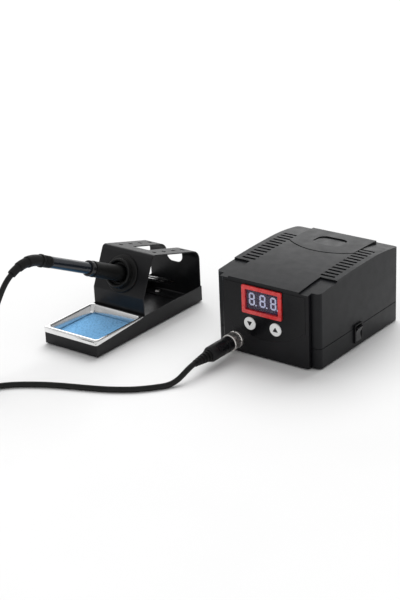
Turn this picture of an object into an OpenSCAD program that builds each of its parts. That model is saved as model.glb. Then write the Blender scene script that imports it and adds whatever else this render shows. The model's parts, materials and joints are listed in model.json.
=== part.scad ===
// Soldering station: control unit, iron with plug and cord, and a bent-sheet
// iron stand with a cleaning sponge.  Millimetres, +Z up, fronts face -Y.
// Origin: centre of the whole set (without the cord) on the table.

/* [Control unit] */
// Width of the case
case_w = 130; // [120:1:160]
// Depth of the case, without the fascia
case_d = 157; // [145:1:190]
// Height of the case at the crest of its roof
case_h = 90.2; // [88:0.2:110]
// Height of the lower shell
lower_h = 22.5; // [22:0.5:25]
// Wall of both shells
wall = 2.2; // [1.8:0.1:3]
// How far the fascia stands in front of the pillars
fascia_out = 6.3; // [5:0.1:9]
// Width of each front pillar
pillar_w = 10.4; // [9:0.1:14]
// Radius of the case's upright edges
case_corner = 5; // [3:0.5:6]
// Distance from the crest of the roof to the rear face
crest_back = 52; // [45:1:60]
// Drop of the roof from its crest to the front
front_fall = 4.8; // [3:0.1:6]
// Drop of the roof from its crest to the rear
rear_fall = 5.1; // [3:0.1:6]
// Number of vent slots on each shoulder
vent_count = 12; // [6:1:12]

/* [Front panel] */
// Width of the display frame
display_w = 50; // [44:0.5:54]
// Height of the display frame
display_h = 31.5; // [28:0.5:33]
// Distance of the display's centre below the crest of the roof
display_drop = 26.7; // [25:0.1:28]
// Height of a digit
digit_h = 14.2; // [12:0.1:15]
// Diameter of a button
button_d = 14.3; // [12:0.1:16]
// Distance of the buttons' centres below the display's centre
button_drop = 27.5; // [26.5:0.5:29]
// Distance between the buttons' centres
button_pitch = 32.6; // [30:0.2:36]
// Travel of a button
button_travel = 0.8; // [0.4:0.1:1]
// Sideways place of the display and buttons from the case's middle
display_x = -2; // [-4:0.5:2]
// Distance of the iron's socket from the case's left side
socket_in = 28; // [26:0.5:32]
// Height of the iron's socket
socket_z = 13.5; // [13:0.5:16]

/* [Power switch] */
// Distance of the switch's middle from the rear of the case
switch_back = 84.5; // [76:0.5:96]
// Height of the switch's middle
switch_z = 15.2; // [15:0.1:16]
// Swing of the rocker from one side to the other, degrees
rocker_swing = 18; // [10:1:20]

/* [Stand] */
// Width of the base
stand_w = 74.3; // [70:0.5:90]
// Length of the base
stand_len = 185.8; // [180:1:210]
// Height of the base's side flanges
flange_h = 17.9; // [16:0.1:22]
// Thickness of the stand's steel sheet
sheet = 1.2; // [1:0.1:1.6]
// Place of the front panel behind the base's front edge
panel_y = 82.4; // [80:0.5:90]
// Height at which the front panel starts to lean back
panel_bend_z = 37.5; // [34:0.5:40]
// Length of the leaning part of the front panel
panel_len = 48.8; // [46:0.5:56]
// Lean of the front panel, and slope of the iron, degrees
tilt = 24.5; // [20:0.5:30]
// Slope of the top plate, degrees
top_slope = 14.9; // [10:0.5:18]
// Width of the slot in the top plate
slot_w = 23; // [16:1:26]
// Diameter of a hole for a spare tip
tip_hole_d = 5.4; // [4:0.1:7]

/* [Iron] */
// Diameter of the handle
handle_d = 13.2; // [12:0.1:15]
// Length of the smooth handle
handle_len = 63; // [55:1:75]
// Diameter of the front grip
grip_d = 18; // [16:0.2:18.2]
// Diameter of the barrel
barrel_d = 6.6; // [5:0.1:8]
// Bend radius of the strain relief
relief_r = 48; // [42:1:60]
// Angle through which the strain relief bends down, degrees
relief_turn = 52; // [40:1:60]

/* [Cord] */
// Diameter of the iron's cord
cord_d = 6; // [5:0.1:7]

/* [Fits] */
// Clearance on each side of a moulded part in its opening
gap = 0.3; // [0.2:0.05:0.5]
// Running clearance of a pin in its bore
run = 0.06; // [0.02:0.01:0.1]
// Height of the rubber feet below the housings
foot_out = 1.5; // [1:0.1:3]
// Space between the stand and the control unit
table_gap = 86.8; // [60:1:150]
// How far the stand's front edge is in front of the pillars
stand_ahead = 100; // [80:1:120]

/* [Hidden] */
$fn = 48;
eps = 0.01;

// Higher than any part, for cuts that run out at the top
tall = case_h + 40;

// ---- roof of the control unit ----
lip_out = fascia_out + 1.2;
lip_t = 3;
crest_y = case_d - crest_back;
pocket_w = 20.5;
pocket_d = 33;
pocket_drop = 1.8;
lid_in = 24;
lid_x = case_w / 2 - lid_in;
lid_base = case_h - 20;
lid_r = 67;
groove_w = 1.2;
groove_drop = 2;
recess_w = 36;
recess_l = 25;
recess_r = 9;
lid_fall = 1.5;
lid_end = 6;
hood_x = case_w / 2 - pillar_w + 0.6;
front_y = 3;
rear_wall = 3;
vent_w = 3.2;
vent_len = 17;
vent_first = pocket_d + 6;
vent_tail = 38.8;
vent_pitch = (case_d - vent_first - vent_tail) / (vent_count - 1);
seam = 0.8;
post_x = case_w / 2 - 10;
post_y = [20, case_d - 19];
post_r = 4;
screw_r = 1.5;
screw_head_r = 2.9;
bore_free = 0.3;
head_depth = 1.9;
panel_t = 2;
panel_lap = 3;
rear_open_x = case_w / 2 - 11;
rear_open_z = case_h - 12.2;
rear_sill = 6;
rib_x = rear_open_x - 9;
rear_vent_x = [rear_open_x - 34, rear_open_x - 10];
rear_vent_z = [24, 54];
foot_r = 6;
foot_in = [24, 15];

// Height of the crowned roof at a distance behind the pillars
function roof_z(y) = y < crest_y
    ? case_h - front_fall * pow((crest_y - y) / crest_y, 2)
    : case_h - rear_fall * pow((y - crest_y) / crest_back, 2);
// Height of the raised rear lid, which falls less than the roof
function lid_z(y) = case_h + 0.3 - lid_fall * pow((y - crest_y) / crest_back, 2);
function steps(a, b, n) = [for (i = [0 : n]) a + (b - a) * i / n];

// ---- fascia ----
fascia_t = 2.5;
fascia_x = case_w / 2 - pillar_w - 0.4;
fascia_top = roof_z(0) - lip_t - 0.4;
face_y = -fascia_out;
overlay_t = 0.4;
overlay_r = 78;
overlay_z = case_h + 8.3;
overlay_low = 10;
display_z = case_h - display_drop;
button_z = display_z - button_drop;
socket_x = -case_w / 2 + socket_in;
bezel_rim = 4.2;
bezel_proud = 2.4;
window_w = display_w - 2 * bezel_rim;
window_h = display_h - 2 * bezel_rim;
flange_over = 1.6;
board_y = 8;
board_t = 1.6;
board_x = display_w / 2 + 15;
board_z = [button_z - 10, display_z + 16.5];
board_post_x = board_x - 4;
board_post_z = [display_z - 21, display_z + 12.5];
board_post_r = 3;
tact_half = 3;
tact_h = 3.6;
tact_stem = 2.4;
digit_w = 7.5;
digit_pitch = (window_w - 0.9) / 3;
bar = 1.8;

// ---- inside the control unit ----
main_z = 8;
trafo_w = 60;
trafo_h = 50;
trafo_t = 24;
trafo_ear = 10;
trafo_x = case_w / 2 - 5 - trafo_w / 2 - trafo_ear;
trafo_y = case_d - 51;
trafo_z = wall + 2.5;
trafo_screw = trafo_w / 2 + 6;
window_half = 15;
coil_over = 9;
coil_free = 0.3;
strap_t = 1.2;
strap_half = 9;
main_x = [-case_w / 2 + 4, case_w / 2 - 24];
main_y = [30, trafo_y - trafo_t / 2 - coil_over - 4];
main_hole_x = [main_x[0] + 3, main_x[1] - 3];
main_hole_y = [main_y[0] + 4, main_y[1] - 4];
capacitor_at = [main_x[0] + 17, main_y[0] + 12];
capacitor_r = 9;
capacitor_h = 31.6;
sink_at = [main_x[0] + 56, main_y[0] + 12];
sink_half = 15;
sink_t = 3;
sink_h = 34;
fin_t = 1.4;
fin_len = 11;
fin_count = 7;
leg_pitch = 2.54;

// ---- power switch ----
switch_y = case_d - switch_back;
bezel_y = 7.5;
bezel_z = 10.5;
bezel_out = 2;
body_y = 6.4;
body_z = 9.4;
tab_y = 9.5;
tab_h = switch_z + bezel_z + 2.5;
body_in = 14;
terminal_in = 20;
axle_r = 1.2;
rocker_axle_in = 0.8;
rocker_y = 5.2;
rocker_half = 8.2;
rocker_rise = 4.4;
rocker_reach = norm([rocker_rise, rocker_half]);
rocker_out = rocker_reach * cos(atan2(rocker_half, rocker_rise) - rocker_swing / 2) - rocker_axle_in;

// ---- rear inlet ----
inlet_w = 27;
inlet_h = 47;
inlet_x = -rear_open_x + inlet_w / 2 + 4;
inlet_z = 36;
inlet_depth = 26;
inlet_free = 0.15;
socket_dz = -9;
pin_x = 7;
pin_z = 2;
drawer_dz = 14;
drawer_x = 11;
drawer_z = 4.5;
drawer_in = 19;
fuse_r = 2.5;

// ---- iron plug ----
socket_r = 7.7;
socket_flange = 9.4;
nut_h = 3.2;
ring_r = 9.6;
coupling_r = 9.4;
plug_r = 8.5;
nose_r = 6;
pin_count = 5;
pin_circle = 3.4;
pin_r = 0.75;
boot_z = 57;
boot_pitch = 4.6;
boot_r = 6;

// ---- stand; the strip's lines are those of the middle of its sheet ----
bend_r = 6;
rear_bend_r = 13;
foot_len = 18;
hole_d = grip_d + 6;
axis_along = 21.5;
strip_y = panel_y + sheet / 2;
axis_y = strip_y + axis_along * sin(tilt) - sheet / 2 * cos(tilt);
axis_z = panel_bend_z + axis_along * cos(tilt) + sheet / 2 * sin(tilt);
top_y = strip_y + panel_len * sin(tilt);
top_z = panel_bend_z + panel_len * cos(tilt);
rear_y = stand_len - sheet / 2;
rear_z = top_z - (rear_y - top_y) * tan(top_slope);
top_len = (rear_y - top_y) / cos(top_slope);
slot_front = top_y + 21.8;
slot_floor = rear_z - 19;
slot_corner = 8;
holder_x = stand_w / 2 - sheet - 0.1;
tip_hole_at = steps(17, top_len - 15.8, 3);
tip_hole_x = stand_w / 2 - 13.15;
screw_x = stand_w / 2 - 17.15;
holder_screw_y = [panel_y + 11, rear_y - 10];
holder_screw_r = 2;
stand_foot_r = 5;
stand_foot_in = [7, 13];
flange_corner = 4;
front_flange_h = flange_h - 3.9;
tray_len = panel_y - 0.9;
tray_t = 0.8;
tray_depth = flange_h - 4.9;
tray_in = 4.2;
tray_back = 5;
tray_side = 1.1;
tray_x = stand_w / 2 - sheet - tray_side;
tray_rim_z = flange_h + 0.1;
rim_over = 0.9;
tray_rim_x = stand_w / 2 + rim_over;
rim_drop = 4.4;
rim_t = 0.6;
rim_r = 3;
sponge_free = 0.5;
sponge_h = tray_depth - 9;

// ---- iron, along its axis from the front panel's face ----
bore_r = 3.2;
grip_nose = -9.2;
grip_s = [-3.2, 55];
collar_s = [55, 62];
handle_s = [62, 62 + handle_len];
sleeve_s = [handle_s[1], handle_s[1] + 16];
tip_clear = 5.1;
tip_s = -(rear_y - axis_y) / cos(tilt) + tip_clear;
tip_r = barrel_d / 2 - 1.2;
barrel_s = [tip_s + 10, grip_nose];
tip_end = barrel_s[0] + 25;
nut_s = [-23, grip_nose - 0.5];
nut_r = barrel_d / 2 + 2.7;
bushing_r = grip_d / 2 + 0.6;
bushing_back = -14;
relief_steps = [0.5, 1.3, 2.1];

// ---- places on the table ----
total_w = stand_w + table_gap + case_w + rocker_out + 2 * rim_over;
stand_x = -total_w / 2 + rim_over + stand_w / 2;
station_x = stand_x + stand_w / 2 + table_gap + case_w / 2 + rim_over;
iron_front = axis_y - sleeve_s[1] * cos(tilt)
    - relief_r * (sin(tilt) + sin(relief_turn - tilt)) - 2.2;
station_y = -(case_d + (iron_front - stand_ahead)) / 2;
stand_y = station_y - stand_ahead;

// ---- cord route, in the frame of the whole set ----
cord_r = cord_d / 2;
coil_at = [-156, -236];
coil_in = 28.5;
coil_out = coil_in + 2 * cord_d;
coil_z = [0.8, 0.8 + 2 * cord_d];
tie_at = 300;
tie_half = 7;
tie_t = 0.75;
plug_run = [
    [42, -66, 15], [42, -70, 14.9], [41.9, -75, 14], [41.5, -81, 12], [40.6, -87, 9.2],
    [39, -93, 6.2], [36.5, -99, 4], [33, -105.5, 3.1], [28, -112, 3], [20, -121, 3],
    [10, -130, 3], [-2, -138, 3], [-15, -145, 3], [-29, -151, 3], [-44, -157, 3],
    [-59, -163, 3], [-74, -170, 3], [-88, -178, 3], [-101, -187, 3], [-111, -197, 3.2],
    [-118, -209, 3.5], [-121, -222, 3.8]
];
lead_run = [
    [-110.8, -167.1, 115.8], [-110.8, -170.6, 114], [-111.2, -175, 110.4], [-112.2, -179.5, 104.6],
    [-114, -183.5, 96.5], [-116.5, -187, 86.5], [-119.5, -190, 75], [-122.5, -193, 62],
    [-126, -196, 48], [-129.5, -198.8, 36], [-133.5, -201, 26.5], [-140, -202, 19.5],
    [-148.5, -202, 16.4], [-157, -201.5, 15.8]
];

// ================= shared shapes =================
module at_station() {
    translate([station_x, station_y, foot_out]) children();
}
module at_stand() {
    translate([stand_x, stand_y, foot_out]) children();
}
// Local +Z runs along the iron, from the barrel to the handle
module on_iron() {
    at_stand() translate([0, axis_y, axis_z]) rotate([90 - tilt, 0, 0]) children();
}
// Local +Z points out of the front of the unit along the plug
module on_plug() {
    at_station() translate([socket_x, 0, socket_z]) rotate([90, 0, 0]) children();
}
// A round bar along Y from y0 to y1
module bar_y(y0, y1, r) {
    translate([0, y1, 0]) rotate([90, 0, 0]) cylinder(h = y1 - y0, r = r);
}
// A box between two corners
module box(a, b) {
    translate(a) cube(b - a);
}
// A plate in the XZ plane with round corners, from y0 to y1
module plate_y(w, h, r, y0, y1) {
    translate([0, y1, 0]) rotate([90, 0, 0]) linear_extrude(y1 - y0) round_rect(w, h, r);
}
module round_rect(w, h, r) {
    square([w - 2 * r, h], center = true);
    square([w, h - 2 * r], center = true);
    for (x = [-1, 1]) {
        for (y = [-1, 1]) {
            translate([x * (w / 2 - r), y * (h / 2 - r)]) circle(r = r);
        }
    }
}
// A side profile in the YZ plane, extruded across the width
module across(w, points) {
    translate([-w / 2, 0, 0]) rotate([90, 0, 90]) linear_extrude(w) polygon(points);
}
// A turned part from its half outline of [radius, height] pairs
module turned(points) {
    rotate_extrude() polygon(points);
}
function unit(v) = v / norm(v);
// The points of corner b between a and c, rounded with radius r
function corner(a, b, c, r, n) = let (
    u = unit(a - b), v = unit(c - b), half = acos(u * v) / 2,
    o = b + unit(u + v) * r / sin(half), p = b + u * r / tan(half) - o,
    turn = (180 - 2 * half) * sign(u[1] * v[0] - u[0] * v[1])
) [for (i = [0 : n]) let (t = turn * i / n)
    o + [p[0] * cos(t) - p[1] * sin(t), p[0] * sin(t) + p[1] * cos(t)]];
// A line offset to one side by d
function beside(p, d) = let (n = len(p)) [for (i = [0 : n - 1]) let (
    u = unit(p[min(i + 1, n - 1)] - p[max(i - 1, 0)])
) p[i] + [-u[1], u[0]] * d];
function reversed(p) = [for (i = [len(p) - 1 : -1 : 0]) p[i]];

// ================= control unit: shells =================
module roof_prism(y0, y1, w, drop) {
    ys = steps(y0, y1, 30);
    across(w, concat([[y1, -1], [y0, -1]], [for (y = ys) [y, roof_z(y) - drop]]));
}
module case_outline(r) {
    translate([0, case_d / 2]) round_rect(case_w, case_d, r);
}
module lid_outline(r) {
    intersection() {
        translate([0, case_d]) circle(r = r, $fn = 96);
        translate([-lid_x, 0]) square([2 * lid_x, case_d - lid_end]);
    }
}
module raised_lid() {
    ys = steps(case_d - lid_r, case_d - lid_end, 16);
    intersection() {
        across(2 * lid_x, concat(
            [[case_d - lid_end, lid_base], [case_d - lid_r, lid_base]],
            [for (y = ys) [y, lid_z(y)]]));
        linear_extrude(tall) lid_outline(lid_r);
    }
}
module switch_notch(c) {
    translate([case_w / 2 - wall - 1, switch_y, 0])
        box([0, -tab_y - c, lower_h - 1], [wall + 3, tab_y + c, tab_h + c]);
}
module switch_hole() {
    translate([case_w / 2, switch_y, switch_z])
        box([-8, -body_y - inlet_free, -body_z - inlet_free],
            [4, body_y + inlet_free, body_z + inlet_free]);
}
module at_case_posts() {
    for (x = [-1, 1]) {
        for (y = post_y) {
            translate([x * post_x, y, 0]) children();
        }
    }
}
module top_cover() {
    color("#3b3c3e") at_station() difference() {
        union() {
            intersection() {
                roof_prism(0, case_d, case_w, 0);
                linear_extrude(tall) case_outline(case_corner);
                box([-case_w, -1, lower_h], [case_w, case_d + 1, tall]);
            }
            intersection() {
                roof_prism(-lip_out, front_y + 1, 2 * hood_x, 0);
                box([-hood_x, -lip_out - 1, roof_z(-lip_out) - lip_t], [hood_x, post_y[0], tall]);
            }
            raised_lid();
        }
        difference() {
            roof_prism(front_y, case_d - rear_wall, case_w - 2 * wall, wall);
            at_case_posts() cylinder(h = tall, r = post_r);
        }
        at_case_posts() cylinder(h = lower_h + 16, r = screw_r + run);
        for (x = [-1, 1]) {
            translate([x * (case_w - pocket_w) / 2, 0, 0]) corner_pocket();
            translate([x * (lid_x + 0.5 + vent_len / 2), 0, 0]) vent_row();
        }
        box([-case_w / 2 + pillar_w, -lip_out - 1, -1],
            [case_w / 2 - pillar_w, front_y + eps, fascia_top + gap]);
        box([-rear_open_x, case_d - rear_wall - 1, -1],
            [rear_open_x, case_d + 1, rear_open_z]);
        switch_notch(0.15);
        lid_groove();
        thumb_recess();
    }
}
module corner_pocket() {
    y0 = -lip_out - 1;
    ys = steps(y0, pocket_d, 8);
    across(pocket_w + eps, concat(
        [[pocket_d, tall], [y0, tall]], [for (y = ys) [y, roof_z(y) - pocket_drop]]));
}
module vent_row() {
    for (i = [0 : vent_count - 1]) {
        translate([0, vent_first + i * vent_pitch, 0])
            box([-vent_len / 2, -vent_w / 2, lid_base], [vent_len / 2, vent_w / 2, tall]);
    }
}
module lid_groove() {
    intersection() {
        translate([0, case_d, case_h - groove_drop]) difference() {
            cylinder(h = 8, r = lid_r + groove_w, $fn = 96);
            translate([0, 0, -1]) cylinder(h = 10, r = lid_r, $fn = 96);
        }
        box([-lid_x - groove_w, case_d - lid_r - 30, 0],
            [lid_x + groove_w, case_d - 30, tall]);
    }
}
// Shallow dish behind the lid's front edge
module thumb_recess() {
    translate([0, crest_y + 4, case_h + 0.25]) rotate([-4, 0, 0])
        translate([0, recess_l / 2, 0]) linear_extrude(10)
            round_rect(recess_w, recess_l, recess_r);
}
module bottom_case() {
    color("#37383a") at_station() difference() {
        union() {
            difference() {
                linear_extrude(lower_h) case_outline(case_corner);
                box([-case_w / 2 + wall, front_y, wall],
                    [case_w / 2 - wall, case_d - rear_wall, tall]);
                box([-case_w / 2 + pillar_w, -1, -1],
                    [case_w / 2 - pillar_w, front_y + 0.2, tall]);
                box([-rear_open_x, case_d - rear_wall - 1, rear_sill],
                    [rear_open_x, case_d + 1, tall]);
            }
            translate([case_w / 2 - wall, switch_y, 0])
                box([0, -tab_y, wall], [wall, tab_y, tab_h]);
            at_case_posts() cylinder(h = lower_h, r = post_r + 0.5);
            at_main_holes() translate([0, 0, wall - eps])
                cylinder(h = main_z - wall + eps, r = 3);
            at_trafo_screws() cylinder(h = trafo_z, r = 5);
            panel_ribs();
        }
        at_case_posts() translate([0, 0, -1]) {
            cylinder(h = lower_h + 2, r = screw_r + bore_free);
            cylinder(h = 4, r = screw_head_r + 0.7);
        }
        at_trafo_screws() translate([0, 0, 0.4]) cylinder(h = trafo_z, r = screw_r + run);
        switch_hole();
        seam_groove();
    }
}
// Groove round the lower shell's upper edge, left out at the switch
module seam_groove() {
    translate([0, 0, lower_h - seam]) linear_extrude(seam + eps) difference() {
        translate([-case_w, -1]) square([2 * case_w, case_d + 2]);
        translate([0, case_d / 2])
            round_rect(case_w - 2 * seam, case_d - 2 * seam, case_corner - seam);
        translate([case_w / 2 - wall, switch_y - tab_y]) square([2 * wall, 2 * tab_y]);
    }
}
module at_main_holes() {
    for (x = main_hole_x) {
        for (y = main_hole_y) {
            translate([x, y, 0]) children();
        }
    }
}
module at_trafo_screws() {
    for (x = [-trafo_screw, trafo_screw]) {
        translate([trafo_x + x, trafo_y, 0]) children();
    }
}
// Ribs on the floor that hold the rear panel's foot from the front
module panel_ribs() {
    y1 = case_d - rear_wall - panel_t - 0.1;
    for (x = [-rib_x, 0, rib_x]) {
        box([x - 6, y1 - 2, wall - eps], [x + 6, y1, rear_sill]);
    }
}
module station_feet() {
    color("#1c1c1c") at_station() for (x = [-1, 1]) {
        for (y = [foot_in[1], case_d - foot_in[1]]) {
            translate([x * (case_w / 2 - foot_in[0]), y, -foot_out]) turned([[0, 0],
                [foot_r - 0.8, 0], [foot_r, 0.6], [foot_r, foot_out], [0, foot_out]]);
        }
    }
}
module case_screws() {
    color("silver") at_station() at_case_posts() translate([0, 0, 3 - head_depth]) difference() {
        turned([[0, 0], [screw_head_r, 0], [screw_head_r + 0.2, 0.3],
            [screw_head_r + 0.2, head_depth], [screw_r, head_depth],
            [screw_r, lower_h + 8], [0, lower_h + 9]]);
        translate([0, 0, -1]) cross_slot(head_depth);
    }
}
// Cut of a cross-head screw, from the plane z = 0 up
module cross_slot(h) {
    box([-2, -0.4, 0], [2, 0.4, h]);
    box([-0.4, -2, 0], [0.4, 2, h]);
}

// ================= control unit: front =================
module button_places() {
    for (x = [-1, 1]) {
        translate([display_x + x * button_pitch / 2, 0, button_z]) children();
    }
}
module front_fascia() {
    color("#333436") at_station() difference() {
        union() {
            difference() {
                translate([0, face_y, 0]) fascia_block();
                box([-fascia_x + fascia_t, face_y + fascia_t, fascia_t],
                    [fascia_x - fascia_t, board_y, fascia_top - fascia_t]);
            }
            board_posts() bar_y(face_y + fascia_t - eps, board_y, board_post_r);
        }
        board_posts() bar_y(board_y - 6, board_y + 1, screw_r + run);
        translate([display_x, 0, display_z])
            plate_y(display_w - 4, display_h - 4, 1, face_y - 1, 0);
        button_places() bar_y(face_y - 1, 0, button_d / 2 + gap);
        translate([socket_x, 0, socket_z]) bar_y(face_y - 1, 0, socket_r + 0.1);
    }
}
// The fascia's block, with its upright front edges rounded
module fascia_block() {
    r = 2.5;
    translate([0, 0, 0.2]) linear_extrude(fascia_top - 0.2) {
        translate([-fascia_x, r]) square([2 * fascia_x, front_y - face_y - r]);
        translate([-fascia_x + r, 0]) square([2 * (fascia_x - r), r + eps]);
        for (x = [-1, 1]) {
            translate([x * (fascia_x - r), r]) circle(r = r);
        }
    }
}
module board_posts() {
    for (x = [-1, 1]) {
        for (z = board_post_z) {
            translate([x * board_post_x, 0, z]) children();
        }
    }
}
module fascia_overlay() {
    w = fascia_x - 3;
    color("#0d0d0f") at_station() difference() {
        translate([0, face_y, 0]) rotate([90, 0, 0]) linear_extrude(overlay_t) intersection() {
            translate([-w, overlay_low]) square([2 * w, fascia_top - 2.5 - overlay_low]);
            translate([0, overlay_z]) circle(r = overlay_r, $fn = 128);
        }
        translate([display_x, 0, display_z])
            plate_y(display_w + 0.4, display_h + 0.4, 1.6, face_y - 1, 0);
        button_places() bar_y(face_y - 1, 0, button_d / 2 + gap);
        translate([socket_x, 0, socket_z]) bar_y(face_y - 1, 0, ring_r + gap);
    }
}
module display_bezel() {
    color("#b01a22") at_station() translate([display_x, 0, display_z]) difference() {
        union() {
            plate_y(display_w, display_h, 1.5, face_y - bezel_proud, face_y);
            plate_y(display_w - 4.2, display_h - 4.2, 0.9, face_y - eps, face_y + fascia_t);
        }
        plate_y(window_w, window_h, 1, face_y - bezel_proud - 1, face_y + fascia_t + 1);
    }
}
module display_window() {
    color([0.25, 0.03, 0.04, 0.5]) at_station() translate([display_x, 0, display_z])
        plate_y(window_w - 0.1, window_h - 0.1, 0.9, face_y - 0.3, face_y + 0.9);
}
module display_module() {
    color("#141418") at_station() translate([display_x, 0, display_z]) difference() {
        box([-window_w / 2 + 0.4, face_y + 1.6, -window_h / 2 + 0.4],
            [window_w / 2 - 0.4, board_y, window_h / 2 - 0.4]);
        box([-window_w / 2 + 2, face_y + 4.5, -window_h / 2 + 2],
            [window_w / 2 - 2, board_y - 2, window_h / 2 - 2]);
    }
}
// One bar of a seven-segment digit, with pointed ends
module segment(l) {
    polygon([[-l / 2, 0], [-l / 2 + bar / 2, bar / 2], [l / 2 - bar / 2, bar / 2],
        [l / 2, 0], [l / 2 - bar / 2, -bar / 2], [-l / 2 + bar / 2, -bar / 2]]);
}
module digit() {
    h = digit_h / 2 - bar / 2;
    w = digit_w / 2 - bar / 2;
    for (z = [-h, 0, h]) {
        translate([0, z]) segment(2 * w - 0.4);
    }
    for (x = [-w, w]) {
        for (z = [-h / 2, h / 2]) {
            translate([x, z]) rotate(90) segment(h - 0.4);
        }
    }
    translate([w + 2.4, -h - 0.2]) circle(d = bar);
}
module display_digits() {
    color("#e8ecff") at_station() translate([display_x - 0.8, face_y + 1.6, display_z])
        rotate([90, 0, 0]) linear_extrude(0.3) {
            for (i = [-1 : 1]) {
                translate([i * digit_pitch, 0]) digit();
            }
        }
}
// A button: disc, flange behind the fascia, and stem
module button() {
    back = face_y + fascia_t + 0.3;
    difference() {
        union() {
            bar_y(face_y - 1.2, back, button_d / 2);
            bar_y(back - eps, back + 1.2, button_d / 2 + flange_over);
            bar_y(back + 1, board_y - tact_h - tact_stem - button_travel - 0.1, 2);
        }
        bar_y(face_y + 0.6, back - 0.1, button_d / 2 - 2.5);
    }
}
module down_button() {
    color("white") at_station() translate([display_x - button_pitch / 2, 0, button_z]) button();
}
module up_button() {
    color("white") at_station() translate([display_x + button_pitch / 2, 0, button_z]) button();
}
module tact_switches() {
    color("#2a2a2a") at_station() button_places() {
        box([-tact_half, board_y - tact_h, -tact_half], [tact_half, board_y, tact_half]);
        bar_y(board_y - tact_h - tact_stem, board_y - tact_h + eps, 1.7);
    }
}
module display_board() {
    color("#1f5c3a") at_station() difference() {
        box([-board_x, board_y, board_z[0]], [board_x, board_y + board_t, board_z[1]]);
        board_posts() bar_y(board_y - 1, board_y + board_t + 1, screw_r + 0.2);
    }
}
module display_board_screws() {
    color("silver") at_station() board_posts() {
        bar_y(board_y - 5, board_y + board_t + eps, screw_r);
        bar_y(board_y + board_t, board_y + board_t + head_depth, screw_head_r);
    }
}

// ================= control unit: electronics =================
module main_board() {
    color("#256b45") at_station() difference() {
        box([main_x[0], main_y[0], main_z], [main_x[1], main_y[1], main_z + board_t]);
        at_main_holes() translate([0, 0, main_z - 1]) cylinder(h = 6, r = 1.6);
    }
}
module transformer_core() {
    color("#6d6f73") at_station() translate([trafo_x, trafo_y, trafo_z + strap_t]) difference() {
        box([-trafo_w / 2, -trafo_t / 2, 0], [trafo_w / 2, trafo_t / 2, trafo_h]);
        for (x = [-1, 1]) {
            translate([x * trafo_w / 4, 0, trafo_h / 2])
                box([-trafo_w / 12, -trafo_t, -window_half], [trafo_w / 12, trafo_t, window_half]);
        }
    }
}
module transformer_coil() {
    out = trafo_w / 3 - coil_free;
    limb = trafo_w / 6 + coil_free;
    deep = trafo_t / 2 + coil_over;
    half = window_half - coil_free;
    color("#b5652b") at_station() translate([trafo_x, trafo_y, trafo_z + strap_t + trafo_h / 2])
        difference() {
            box([-out, -deep, -half], [out, deep, half]);
            box([-limb, -trafo_t / 2 - coil_free, -window_half - 1],
                [limb, trafo_t / 2 + coil_free, window_half + 1]);
        }
}
module transformer_bracket() {
    x = trafo_w / 2 + 0.05;
    color("#9a9da1") at_station() difference() {
        translate([trafo_x, trafo_y, trafo_z]) {
            box([-x - trafo_ear, -strap_half, 0], [x + trafo_ear, strap_half, strap_t]);
            for (s = [-1, 1]) {
                translate([s * (x + strap_t / 2), 0, 0])
                    box([-strap_t / 2, -strap_half, 0],
                        [strap_t / 2, strap_half, trafo_h + 2 * strap_t]);
            }
            box([-x, -strap_half, trafo_h + strap_t], [x, strap_half, trafo_h + 2 * strap_t]);
        }
        at_trafo_screws() translate([0, 0, trafo_z - 1])
            cylinder(h = strap_t + 2, r = screw_r + bore_free);
    }
}
module transformer_screws() {
    color("silver") at_station() at_trafo_screws() {
        translate([0, 0, 0.4]) cylinder(h = trafo_z + strap_t, r = screw_r);
        translate([0, 0, trafo_z + strap_t]) cylinder(h = head_depth, r = screw_head_r);
    }
}
module on_main_board(at) {
    at_station() translate([at[0], at[1], main_z + board_t]) children();
}
module capacitor() {
    r = capacitor_r;
    h = capacitor_h;
    color("#23305e") on_main_board(capacitor_at) turned([[0, 0], [r, 0], [r, 2.4], [r - 0.4, 3],
        [r, 3.6], [r, h - 0.6], [r - 0.6, h], [0, h]]);
}
module heat_sink() {
    pitch = (2 * sink_half - fin_t) / (fin_count - 1);
    color("#a7aaae") on_main_board(sink_at) {
        box([-sink_half, -sink_t / 2, 0], [sink_half, sink_t / 2, sink_h]);
        for (i = [0 : fin_count - 1]) {
            translate([-sink_half + fin_t / 2 + i * pitch, sink_t / 2 - eps, 0])
                box([-fin_t / 2, 0, 0], [fin_t / 2, fin_len, sink_h]);
        }
    }
}
// Package with a metal tab and three legs, screwed to the heat sink
module triac() {
    color("#1b1b1b") on_main_board(sink_at) translate([0, -sink_t / 2, 0]) difference() {
        union() {
            box([-5, -4.5, 12], [5, 0, 21]);
            box([-5, -1.3, 20.9], [5, 0, 27]);
            for (i = [-1 : 1]) {
                translate([i * leg_pitch, 0, 0]) box([-0.4, -2.6, 0], [0.4, -2.1, 12.1]);
            }
        }
        translate([0, 0, 24]) bar_y(-3, 1, 1.8);
    }
}

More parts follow.
